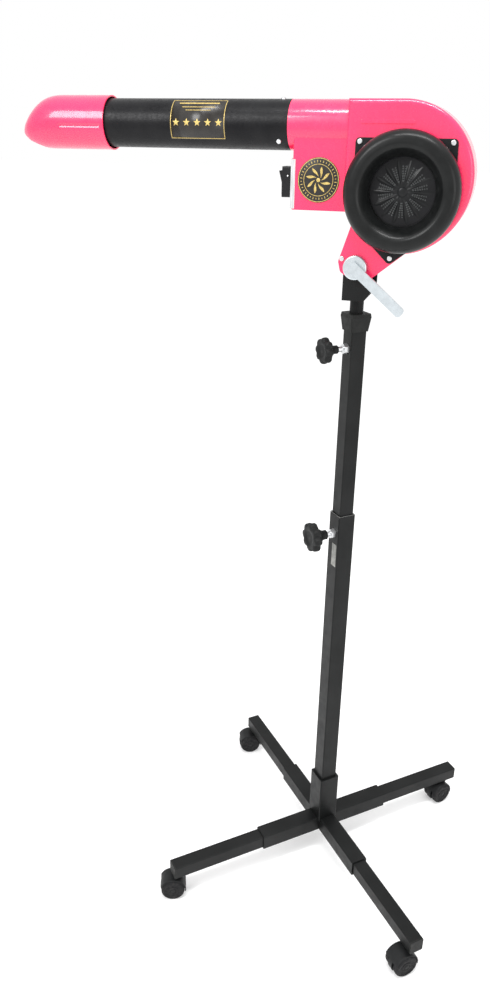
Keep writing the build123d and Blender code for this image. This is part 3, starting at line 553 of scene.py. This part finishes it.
# ---------------------------------------------------------------- nozzle
NOZZLE_RIM = high_of("nozzle").x
NOZZLE_TIP = low_of("nozzle").x
NOZZLE_R = (high_of("nozzle").y - low_of("nozzle").y) / 2
NOSE_START = -451.0
NOZZLE_WALL = 1.8
NOSE_SHAPE = [
    # share of the nose's length, crown height, chin height, half width
    (0.0, 1.0, -1.0, 1.0),
    (0.14, 0.985, -1.0, 0.99),
    (0.3, 0.93, -0.998, 0.968),
    (0.45, 0.82, -0.985, 0.93),
    (0.6, 0.64, -0.95, 0.86),
    (0.75, 0.385, -0.865, 0.735),
    (0.87, 0.12, -0.75, 0.56),
    (0.95, -0.12, -0.64, 0.37),
    (1.0, -0.3, -0.5, 0.16),
]


def smooth_between(table, share):
    """Row of a table at a share, joined by a Catmull-Rom curve through its rows."""
    last = len(table) - 1
    i = max(k for k in range(last) if table[k][0] <= share or k == 0)
    rows = [table[max(0, i - 1)], table[i], table[i + 1], table[min(last, i + 2)]]
    t = (share - rows[1][0]) / (rows[2][0] - rows[1][0])
    out = []
    for a, b, c, d in zip(*[row[1:] for row in rows]):
        out.append(0.5 * (2 * b + (c - a) * t + (2 * a - 5 * b + 4 * c - d) * t ** 2
                          + (3 * b - a - 3 * c + d) * t ** 3))
    return out


GROOVE = (-441.0, -378.0, 7.0, 3.4)     # start and end in X, degrees below the side, half width
GROOVE_DEPTH = 1.4


def groove_depth(x, angle):
    """Depth of the pressed groove along the nozzle's flank."""
    start, end, below, half = GROOVE
    across = abs(angle + below) / half
    along = max(0.0, start - x, x - end) / 2.0
    away = hypot(max(0.0, across - 0.55) / 0.45, along)
    return GROOVE_DEPTH * (1.0 - min(1.0, away)) ** 0.5 if away < 1.0 else 0.0


def nozzle_section(x):
    """Crown, chin and half width of the nozzle at x, in nozzle radii."""
    if x >= NOSE_START:
        return 1.0, -1.0, 1.0
    return smooth_between(NOSE_SHAPE, (NOSE_START - x) / (NOSE_START - NOZZLE_TIP))


MOUTH_LINE = ((-517.5, -9.0), (-499.0, -25.0), (-472.0, -37.0))     # X, and height from the tube's axis


def trim_mouth(work):
    """Cuts the mouth along its two straight edges and drops what is below both of them."""
    for (x0, z0), (x1, z1) in zip(MOUTH_LINE, MOUTH_LINE[1:]):
        across = Vector((z1 - z0, 0.0, x0 - x1)).normalized()
        on_edge = Vector((x0, 0.0, TUBE.z + z0)) * MM
        everything = work.verts[:] + work.edges[:] + work.faces[:]
        bmesh.ops.bisect_plane(work, geom=everything, plane_co=on_edge, plane_no=across)
    lost = [face for face in work.faces if below_mouth(face.calc_center_median() / MM)]
    bmesh.ops.delete(work, geom=lost, context="FACES")


def below_mouth(spot):
    """Whether a point in millimetres is under the mouth line."""
    if spot.x > MOUTH_LINE[-1][0]:
        return False
    k = 0 if spot.x < MOUTH_LINE[1][0] else 1
    (x0, z0), (x1, z1) = MOUTH_LINE[k], MOUTH_LINE[k + 1]
    return spot.z - TUBE.z < z0 + (z1 - z0) * (spot.x - x0) / (x1 - x0)


def make_nozzle():
    """Glossy shell: straight barrel, drooping nose with a slanted mouth below, pressed grooves."""
    around = 180
    stations = [NOZZLE_RIM - 1.5 * k for k in range(int((NOZZLE_RIM - NOSE_START) / 1.5) + 1)]
    nose_steps = 40
    stations += [NOSE_START + (NOZZLE_TIP - NOSE_START) * (1 - (1 - k / nose_steps) ** 1.6)
                 for k in range(1, nose_steps + 1)]
    points, faces = [], []
    for x in stations:
        crown, chin, half = nozzle_section(x)
        middle = (crown + chin) / 2 * NOZZLE_R
        tall = (crown - chin) / 2 * NOZZLE_R
        for k in range(around):
            turn = 2 * pi * k / around
            shrink = 0.0
            for side in (0.0, 180.0):
                angle = (360.0 * k / around - side + 180.0) % 360.0 - 180.0
                angle = angle if side == 0.0 else -angle
                shrink += groove_depth(x, angle)
            y = -cos(turn) * (half * NOZZLE_R - shrink)
            z = TUBE.z + middle + sin(turn) * (tall - shrink)
            points.append((x, y, z))
    rows = len(stations)
    for i in range(rows - 1):
        for k in range(around):
            j = (k + 1) % around
            faces.append((i * around + k, i * around + j, (i + 1) * around + j, (i + 1) * around + k))
    faces.append(tuple((rows - 1) * around + k for k in range(around)))
    shell = add_piece("nozzle_shell", points, faces, PINK, "nozzle", "pink_shell")
    work = bmesh.new()
    work.from_mesh(shell.data)
    trim_mouth(work)
    work.to_mesh(shell.data)
    work.free()
    thick = shell.modifiers.new("wall", "SOLIDIFY")
    thick.thickness = NOZZLE_WALL * MM
    thick.offset = -1.0
    soften(shell, 0.5, 50.0)
    bore, outside = TUBE_R + 0.05, NOZZLE_R - NOZZLE_WALL
    collar = [(bore, 22.0), (outside, 22.0), (outside, 36.0), (bore, 36.0)]
    rim_centre = (NOZZLE_RIM, 0, TUBE.z)
    lathed_piece("nozzle_collar", collar, rim_centre, (-1, 0, 0), KNOB_BLACK, "nozzle", "black_plastic")
    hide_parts("nozzle")


# ---------------------------------------------------------------- printed plate on the tube, and the badge
def make_tube_label():
    """Dark printed plate bent round the tube, with a gold border, two bars and five stars."""
    low, high = low_of("tube_label"), high_of("tube_label")
    middle = (low.x + high.x) / 2
    half_u = (high.x - low.x) / 2
    top, bottom = radians(66.0), radians(-37.5)
    centre = (top + bottom) / 2
    half_v = (top - bottom) / 2 * TUBE_R

    def on_tube(u, v, height):
        angle = centre + v / TUBE_R
        reach = TUBE_R + height
        return Vector((middle + u, -cos(angle) * reach, TUBE.z + sin(angle) * reach))

    def strip(u0, u1, v0, v1, low_h, high_h):
        """A curved bar, cut into enough steps to follow the tube."""
        steps = max(1, int(abs(v1 - v0) / 1.5))
        left = [(u0, v0 + (v1 - v0) * k / steps) for k in range(steps + 1)]
        right = [(u1, v) for _, v in reversed(left)]
        count = steps + 1
        points = [on_tube(u, v, high_h) for u, v in left + right]
        points += [on_tube(u, v, low_h) for u, v in left + right]
        total = 2 * count
        faces = [(k, k + 1, total - 2 - k, total - 1 - k) for k in range(steps)]
        faces += [tuple(i + total for i in face) for face in faces]
        faces += [(k, (k + 1) % total, total + (k + 1) % total, total + k) for k in range(total)]
        return points, faces

    points, faces = strip(-half_u, half_u, -half_v, half_v, 0.02, 0.22)
    film = add_piece("label_film", points, faces, PRINT_BLACK, "head", "label_print")
    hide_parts("tube_label")
    edge, line = 1.6, 0.8
    parts = []
    for side in (-1, 1):
        u = side * (half_u - edge)
        parts.append(strip(u - line / 2, u + line / 2, -half_v + edge, half_v - edge, 0.2, 0.34))
        v = side * (half_v - edge)
        parts.append(strip(-half_u + edge, half_u - edge, v - line / 2, v + line / 2, 0.2, 0.34))
    v_stars = (radians(2.6) - centre) * TUBE_R
    spacing = (high.x - low.x) * 0.191
    for k in range(5):
        u = (k - 2) * spacing
        outline = star_outline(u, v_stars, 5.2)
        points, faces = plate_points(outline, on_tube, 0.2, 0.36)
        parts.append((points, faces))
    for v_degrees, half_length, thick in ((52.0, 29.0, 2.2), (40.0, 24.0, 1.0), (31.5, 18.0, 0.7)):
        v = (radians(v_degrees) - centre) * TUBE_R
        parts.append(strip(-half_length, half_length, v - thick / 2, v + thick / 2, 0.2, 0.34))
    add_piece("label_gold", *join_parts(parts), GOLD, "head", "label_print", False)


BADGE_TICKS = 36
BADGE_VANES = 8


def make_badge():
    """Round badge: dark disc, gold rims, a ring of ticks and a plain eight-vane rosette."""
    low, high = low_of("badge"), high_of("badge")
    centre = Vector(((low.x + high.x) / 2, high.y, (low.z + high.z) / 2))
    radius = (high.x - low.x) / 2

    def on_badge(u, v, height):
        return centre + Vector((u, -height, v))

    disc = [(0.0, 0.8), (radius - 0.8, 0.8), (radius - 0.3, 0.6), (radius, 0.3), (radius, 0.02)]
    plate = lathed_piece(
        "badge_disc", disc, centre, (0, -1, 0), PRINT_BLACK, "head", "badge_print", 128, False
    )
    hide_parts("badge")
    parts = []
    for outer, inner in ((radius - 0.8, radius - 1.7), (radius * 0.71, radius * 0.685)):
        profile = [(outer, 0.78), (outer, 1.05), (inner, 1.05), (inner, 0.78)]
        parts.append(lathe(profile, centre, (0, -1, 0), 128))
    tick_r = radius * 0.825
    for k in range(BADGE_TICKS):
        angle = 2 * pi * (k + 0.5) / BADGE_TICKS
        long = 1.5 if k % 2 else 0.9
        across = Vector((-sin(angle), cos(angle)))
        out = Vector((cos(angle), sin(angle)))
        corners = []
        for a, b in ((-1, -1), (1, -1), (1, 1), (-1, 1)):
            corners.append(out * (tick_r + a * long) + across * (b * 0.45))
        parts.append(plate_points(corners, on_badge, 0.78, 0.95))
    for k in range(BADGE_VANES):
        angle = 2 * pi * k / BADGE_VANES
        outline = []
        for t in range(9):
            share = t / 8
            reach = radius * (0.14 + 0.46 * share)
            swing = angle + 0.55 * share + 0.3 * sin(pi * share)
            outline.append((reach * cos(swing), reach * sin(swing)))
        for t in range(8, -1, -1):
            share = t / 8
            reach = radius * (0.14 + 0.46 * share)
            swing = angle + 0.55 * share - 0.02
            outline.append((reach * cos(swing), reach * sin(swing)))
        parts.append(plate_points(outline, on_badge, 0.78, 0.98))
    hub = [(0.0, 1.1), (radius * 0.07, 1.1), (radius * 0.09, 0.95), (radius * 0.09, 0.78)]
    parts.append(lathe(hub, centre, (0, -1, 0), 40, False))
    add_piece("badge_gold", *join_parts(parts), GOLD, "head", "badge_print", False)


# ---------------------------------------------------------------- clamp knobs
def make_star_knob(name, node, joint_name, body, lobes=8):
    """Lobed hand knob with a flared hub, from loops of points about its screw."""
    at, axis = joint(joint_name)
    side, top = basis(axis)
    reach = [Vector(v.co).dot(axis) / MM for v in frame["nodes"][node].data.vertices]
    start, end = min(reach), max(reach)
    radius = (high_of(node).z - low_of(node).z) / 2 * 1.02
    disc = start + (end - start) * 0.6
    loops = [
        # distance along the axis, share of the radius, depth of the lobes
        (start, 0.20, 0.0), (start, 0.29, 0.0), (start + 0.8, 0.32, 0.0),
        (start + 5.0, 0.31, 0.0), (start + 9.0, 0.36, 0.02), (disc - 4.0, 0.55, 0.07),
        (disc - 1.2, 0.80, 0.13), (disc + 0.2, 0.93, 0.17), (disc + 1.8, 0.985, 0.18),
        (disc + 4.0, 1.0, 0.18), (end - 3.2, 0.985, 0.18), (end - 1.4, 0.94, 0.17),
        (end - 0.4, 0.86, 0.14), (end, 0.74, 0.08), (end - 0.1, 0.6, 0.03),
        (end - 0.7, 0.5, 0.0), (end - 1.8, 0.44, 0.0), (end - 2.2, 0.3, 0.0), (end - 2.0, 0.1, 0.0),
    ]
    around = lobes * 14
    points, faces = [], []
    foot = at - axis * at.dot(axis)
    for along, share, depth in loops:
        for k in range(around):
            angle = 2 * pi * k / around
            wave = (0.5 - 0.5 * cos(lobes * angle)) ** 1.6
            reach = radius * share * (1.0 - depth * wave)
            points.append(foot + axis * along + side * (reach * cos(angle)) + top * (reach * sin(angle)))
    for i in range(len(loops) - 1):
        for k in range(around):
            j = (k + 1) % around
            faces.append((i * around + k, i * around + j, (i + 1) * around + j, (i + 1) * around + k))
    last = (len(loops) - 1) * around
    faces.append(tuple(range(last, last + around)))
    faces.append(tuple(range(around)))
    knob = add_piece(name, points, faces, KNOB_BLACK, body, "black_plastic")
    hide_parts(node)


# ---------------------------------------------------------------- casters
def make_wheel(number, side_name):
    """Caster wheel: rounded tread, stepped side with a hub cap."""
    node = f"caster_{number}_wheel_{side_name}"
    at, axis = joint(f"caster_{number}_{side_name}_spin")
    reach = [Vector(v.co).dot(axis) / MM for v in frame["nodes"][node].data.vertices]
    swivel_at = joint(f"caster_{number}_swivel")[0]
    middle = swivel_at.dot(axis)
    near, far = sorted((min(reach) - middle, max(reach) - middle), key=abs)
    sign = 1.0 if far > 0 else -1.0
    outward = axis * sign
    near, far = abs(near), abs(far)
    radius = at.z
    foot = at - axis * (at.dot(axis) - middle)
    corners = [
        (3.2, near, 0.3), (radius - 4.0, near, 1.0), (radius - 1.6, near + 0.6, 1.2),
        (radius, near + 2.6, 2.0), (radius, far - 3.2, 2.6), (radius - 1.8, far - 0.7, 1.4),
        (radius - 4.2, far, 1.0), (radius - 5.6, far - 0.5, 0.5), (radius - 6.3, far - 1.7, 0.6),
        (9.6, far - 2.0, 0.5), (9.0, far - 1.2, 0.4), (7.2, far - 0.9, 0.6),
        (6.2, far - 1.8, 0.5), (3.2, far - 1.6, 0.3),
    ]
    profile = [(p.x, p.y) for p in rounded(corners, 0.5, 4)]
    wheel = lathed_piece(f"caster_{number}_tyre_{side_name}", profile, foot, outward, TREAD,
                         f"caster_{number}_{side_name}_wheel", "caster_tread", 72)
    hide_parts(node)
    cap = [(0.0, far - 0.9), (2.0, far - 0.95), (3.4, far - 1.2), (3.9, far - 1.7), (3.9, far - 2.6)]
    lathed_piece(f"caster_{number}_hubcap_{side_name}", cap, foot, outward, HOOD_BLACK,
                 f"caster_{number}_{side_name}_wheel", "caster_tread", 32, False)


# ---------------------------------------------------------------- small trims
MAST_HALF = 15.0           # half the outer mast's side
CUT_RIM = 0.25             # how proud the bare cut end of the outer mast stands


def make_mast_rim():
    """Bare cut steel round the top of the outer mast."""
    top = high_of("mast_outer").z
    outer, inner = MAST_HALF - 0.2, MAST_HALF - 1.3
    points = []
    for half, height in ((outer, -0.2), (outer, CUT_RIM), (inner, CUT_RIM), (inner, -0.2)):
        for u, v in ((-1, -1), (1, -1), (1, 1), (-1, 1)):
            points.append(KNOB_AXIS * (half * u) + MAST_SIDE * (half * v) + UP * (top + height))
    faces = [(4 * i + k, 4 * i + (k + 1) % 4, 4 * ((i + 1) % 4) + (k + 1) % 4, 4 * ((i + 1) % 4) + k)
             for i in range(4) for k in range(4)]
    add_piece("mast_cut_rim", points, faces, CUT_STEEL, "base", "zinc_steel", False)


def make_folded_strip():
    """Edge of the switch's backing plate, and a pale strip round the front corner of the box that paints
    the highlight on the box's rounded edge.
    """
    low, high = low_of("switch_plate"), high_of("switch_plate")
    front = -28.0
    corners = [(low.x + 0.2, front + 6.0), (low.x + 0.2, front - 0.6), (low.x + 6.5, front - 0.6),
               (low.x + 6.5, front - 0.1), (low.x + 1.0, front - 0.1), (low.x + 1.0, front + 6.0)]
    outline = rounded(corners, 0.4, 3)
    points, faces = plate_points(outline, lambda u, v, z: Vector((u, v, z)), low.z + 1.0, high.z - 1.0)
    # the strip's part along the plate is the plate's real edge; its part on the box's front face is painted
    # highlight on the box's rounded edge
    add_piece("switch_plate_edge_highlight", points, faces, PLATE, "head", "switch_plate_metal", False)


def make_tag():
    """Blank paper tag on the lower mast, under the height knob."""
    at = KNOB_AXIS * (MAST_HALF + 0.02)
    outline = rounded(bar_outline(-11.5, 1.5, 621.0, 661.0), 1.0, 3)

    def on_mast(u, v, height):
        return at - MAST_SIDE * u + KNOB_AXIS * height + UP * v

    points, faces = plate_points(outline, on_mast, 0.0, 0.15)
    add_piece("mast_tag", points, faces, TAG, "base", "black_powder_coat", False)


def make_raised_bar():
    """Plain raised bar moulded on the scroll above the intake."""
    def on_scroll(u, v, height):
        return Vector((u, RING_BACK - height, v))

    outline = rounded(bar_outline(-5.0, 65.0, 1282.5, 1288.0), 2.6, 6)
    points, faces = plate_points(outline, on_scroll, -0.5, 0.6)
    soften(add_piece("scroll_bar", points, faces, PINK, "head", "pink_shell", False), 0.4, 40.0, 3)


def make_switch_mark():
    """Small white mark on the side of the switch."""
    low = low_of("switch_body")
    at = Vector((low.x + 8.0, low.y, centre_of("switch_body").z + 8.0))
    profile = [(0.0, 0.3), (0.8, 0.25), (1.1, 0.0), (1.1, -0.3)]
    lathed_piece("switch_mark", profile, at, (0, -1, 0), WHITE_DOT, "head", "black_plastic", 24, False)


# ---------------------------------------------------------------- CAD nodes that stay
def finish_cad(nodes, material):
    """Gives CAD nodes their material."""
    for name in nodes:
        for material_slot in frame["nodes"][name].material_slots:
            material_slot.material = material


def numbered(pattern):
    return [pattern.format(n) for n in range(1, 5)]


finish_cad(["base_hub", "mast_outer", "mast_inner", "yoke", *numbered("leg_{}")], POWDER)
finish_cad(["tube"], TUBE_BLACK)
finish_cad(["housing_front", "housing_rear"], PINK)
finish_cad(["clamp_lever"], LEVER_ZINC)
finish_cad(
    ["height_knob_screw", "swivel_knob_screw", "leg_screws", "housing_screws", "lug_screw", "tube_screws",
     "intake_screws", "height_nut", "swivel_nut", "pivot_bolt", "motor_shaft", *numbered("caster_{}_pins")],
    ZINC,
)
finish_cad(["spigot"], POWDER)
finish_cad(["mast_cap", "leg_end_plugs", "mast_slide_plug"], CAP_BLACK)
finish_cad(["motor_cover", "cable_gland", "impeller"], COVER_BLACK)
finish_cad(["switch_body", "switch_rocker"], SWITCH_BLACK)
finish_cad(numbered("caster_{}_housing"), HOOD_BLACK)
finish_cad(["switch_plate"], PLATE)
finish_cad(["motor_stator"], IRON)
finish_cad(["heater_frame"], MICA)
finish_cad(["heater_coils"], WIRE)
finish_cad(["thermostat"], BRASS)

make_intake_ring()
make_guard()
make_guard_eyelets()
make_nozzle()
make_tube_label()
make_badge()
make_star_knob("height_knob_grip", "height_knob", "height_knob_turn", "height_knob")
make_star_knob("swivel_knob_grip", "swivel_knob", "swivel_knob_turn", "swivel_knob")
for wheel_number in range(1, 5):
    for wheel_side in ("left", "right"):
        make_wheel(wheel_number, wheel_side)
make_mast_rim()
make_folded_strip()
make_tag()
make_raised_bar()
make_switch_mark()


# ---------------------------------------------------------------- floor, light and camera
FLOOR_HALF = 30.0          # metres
FLOOR_GLOW = 0.16          # lifts the floor to the background's white, and leaves soft shadows


def make_floor():
    """Plain pale floor, wide enough to fill every view."""
    mesh = bpy.data.meshes.new("floor")
    corners = [(u * FLOOR_HALF, v * FLOOR_HALF, 0) for u, v in ((-1, -1), (1, -1), (1, 1), (-1, 1))]
    mesh.from_pydata(corners, [], [(0, 1, 2, 3)])
    floor = bpy.data.objects.new("floor", mesh)
    bpy.context.scene.collection.objects.link(floor)
    m = Nodes("floor_pale", (0.9, 0.9, 0.9), 0.8)
    m.shader.inputs["Specular IOR Level"].default_value = 0.0
    m.shader.inputs["Emission Color"].default_value = (1.0, 1.0, 1.0, 1.0)
    m.shader.inputs["Emission Strength"].default_value = FLOOR_GLOW
    mesh.materials.append(m.material)


def area_light(name, place, target, size, power, colour=(1, 1, 1)):
    """Rectangular soft light aimed at a point, all in metres."""
    data = bpy.data.lights.new(name, "AREA")
    data.shape = "RECTANGLE"
    data.size, data.size_y = size
    data.energy = power
    data.color = colour
    light = bpy.data.objects.new(name, data)
    light.location = place
    light.rotation_euler = (Vector(target) - Vector(place)).to_track_quat("-Z", "Y").to_euler()
    bpy.context.scene.collection.objects.link(light)


def make_light():
    """White surroundings, a large key from the front left, a strip overhead and a weak fill."""
    world = bpy.data.worlds.new("studio")
    world.use_nodes = True
    background = world.node_tree.nodes["Background"]
    background.inputs["Color"].default_value = (1.0, 1.0, 1.0, 1.0)
    background.inputs["Strength"].default_value = 1.0
    bpy.context.scene.world = world
    bpy.context.scene.view_settings.view_transform = "Standard"
    head = (-0.1, 0.0, 1.2)
    area_light("key", (-1.4, -2.2, 2.6), head, (1.2, 1.2), 45.0)
    area_light("overhead", (0.2, -0.5, 2.9), head, (1.6, 0.25), 32.0)
    area_light("fill", (2.2, -1.4, 1.4), (0, 0, 0.9), (1.2, 1.6), 12.0)


CAMERA_AT = (0.2006, -1.1954, 1.2742)
CAMERA_YAW = -17.009       # degrees from +Y towards +X
CAMERA_PITCH = -24.538     # degrees above the horizon
CAMERA_ROLL = 0.779
CAMERA_LENS = 29.34        # millimetres on a 36 mm long side


def make_camera():
    """Camera level with the outlet tube, looking down at the stand."""
    data = bpy.data.cameras.new("camera")
    data.sensor_fit = "AUTO"
    data.sensor_width = 36.0
    data.lens = CAMERA_LENS
    data.clip_start = 0.05
    data.clip_end = 100.0
    yaw, pitch = radians(CAMERA_YAW), radians(CAMERA_PITCH)
    forward = Vector((sin(yaw) * cos(pitch), cos(yaw) * cos(pitch), sin(pitch)))
    right = Vector((cos(yaw), -sin(yaw), 0.0))
    up = right.cross(forward)
    roll = radians(CAMERA_ROLL)
    across = right * cos(roll) + up * sin(roll)
    top = up * cos(roll) - right * sin(roll)
    camera = bpy.data.objects.new("camera", data)
    camera.matrix_world = Matrix((
        (across.x, top.x, -forward.x, CAMERA_AT[0]),
        (across.y, top.y, -forward.y, CAMERA_AT[1]),
        (across.z, top.z, -forward.z, CAMERA_AT[2]),
        (0, 0, 0, 1),
    ))
    bpy.context.scene.collection.objects.link(camera)
    bpy.context.scene.camera = camera


make_floor()
make_light()
make_camera()
